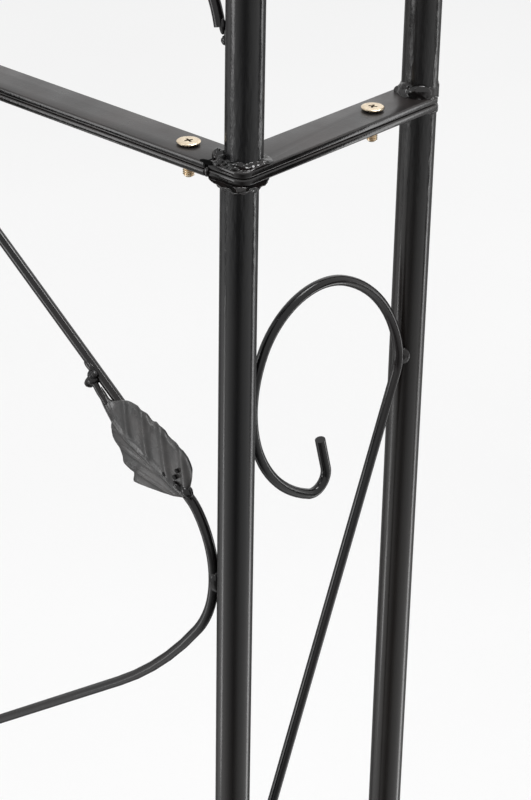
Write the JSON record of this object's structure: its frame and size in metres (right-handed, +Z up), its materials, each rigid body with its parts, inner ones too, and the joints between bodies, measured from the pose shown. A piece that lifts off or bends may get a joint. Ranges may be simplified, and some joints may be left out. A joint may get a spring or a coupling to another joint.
{
  "type": "rose arch",
  "caption": "Garden rose arch of black painted steel tube with scrolled narrow faces, vine lattice sides with pressed leaves, and bolted half hoops.",
  "frame": {"origin": "on the ground, below the middle of the arch", "axes": "+Z up, X across the passage, Y through the passage with the front at -Y"},
  "size_m": [1.404, 0.46, 2.4],
  "materials": {
    "painted_tube": "satin black paint on round steel tube",
    "painted_bar": "satin black paint on flat steel bar",
    "painted_wire": "satin black paint on steel wire and pressed leaves",
    "yellow_zinc": "yellow zinc plated screw with a cross recess"
  },
  "bodies": {
    "root": {"crown_front_screw": "yellow_zinc", "crown_rear_screw": "yellow_zinc", "crown_top_front_screw": "yellow_zinc", "crown_top_rear_screw": "yellow_zinc", "left_crown_frame": "painted_bar", "left_front_lower_bar": "painted_bar", "left_front_lower_scrolls": "painted_wire", "left_front_lower_vine": "painted_wire", "left_front_screw": "yellow_zinc", "left_front_upper_bar": "painted_bar", "left_front_upper_scrolls": "painted_wire", "left_front_upper_vine": "painted_wire", "left_inner_front_hoop": "painted_tube", "left_inner_front_post": "painted_tube", "left_inner_rear_hoop": "painted_tube", "left_inner_rear_post": "painted_tube", "left_outer_front_hoop": "painted_tube", "left_outer_front_post": "painted_tube", "left_outer_rear_hoop": "painted_tube", "left_outer_rear_post": "painted_tube", "left_rear_lower_bar": "painted_bar", "left_rear_lower_scrolls": "painted_wire", "left_rear_lower_vine": "painted_wire", "left_rear_screw": "yellow_zinc", "left_rear_upper_bar": "painted_bar", "left_rear_upper_scrolls": "painted_wire", "left_rear_upper_vine": "painted_wire", "left_side_front_screw": "yellow_zinc", "left_side_lower_bar": "painted_bar", "left_side_rear_screw": "yellow_zinc", "left_side_rung": "painted_wire", "left_side_upper_bar": "painted_bar", "right_crown_frame": "painted_bar", "right_front_lower_bar": "painted_bar", "right_front_lower_scrolls": "painted_wire", "right_front_lower_vine": "painted_wire", "right_front_screw": "yellow_zinc", "right_front_upper_bar": "painted_bar", "right_front_upper_scrolls": "painted_wire", "right_front_upper_vine": "painted_wire", "right_inner_front_hoop": "painted_tube", "right_inner_front_post": "painted_tube", "right_inner_rear_hoop": "painted_tube", "right_inner_rear_post": "painted_tube", "right_outer_front_hoop": "painted_tube", "right_outer_front_post": "painted_tube", "right_outer_rear_hoop": "painted_tube", "right_outer_rear_post": "painted_tube", "right_rear_lower_bar": "painted_bar", "right_rear_lower_scrolls": "painted_wire", "right_rear_lower_vine": "painted_wire", "right_rear_screw": "yellow_zinc", "right_rear_upper_bar": "painted_bar", "right_rear_upper_scrolls": "painted_wire", "right_rear_upper_vine": "painted_wire", "right_side_front_screw": "yellow_zinc", "right_side_lower_bar": "painted_bar", "right_side_rear_screw": "yellow_zinc", "right_side_rung": "painted_wire", "right_side_upper_bar": "painted_bar"}
  },
  "joints": []
}
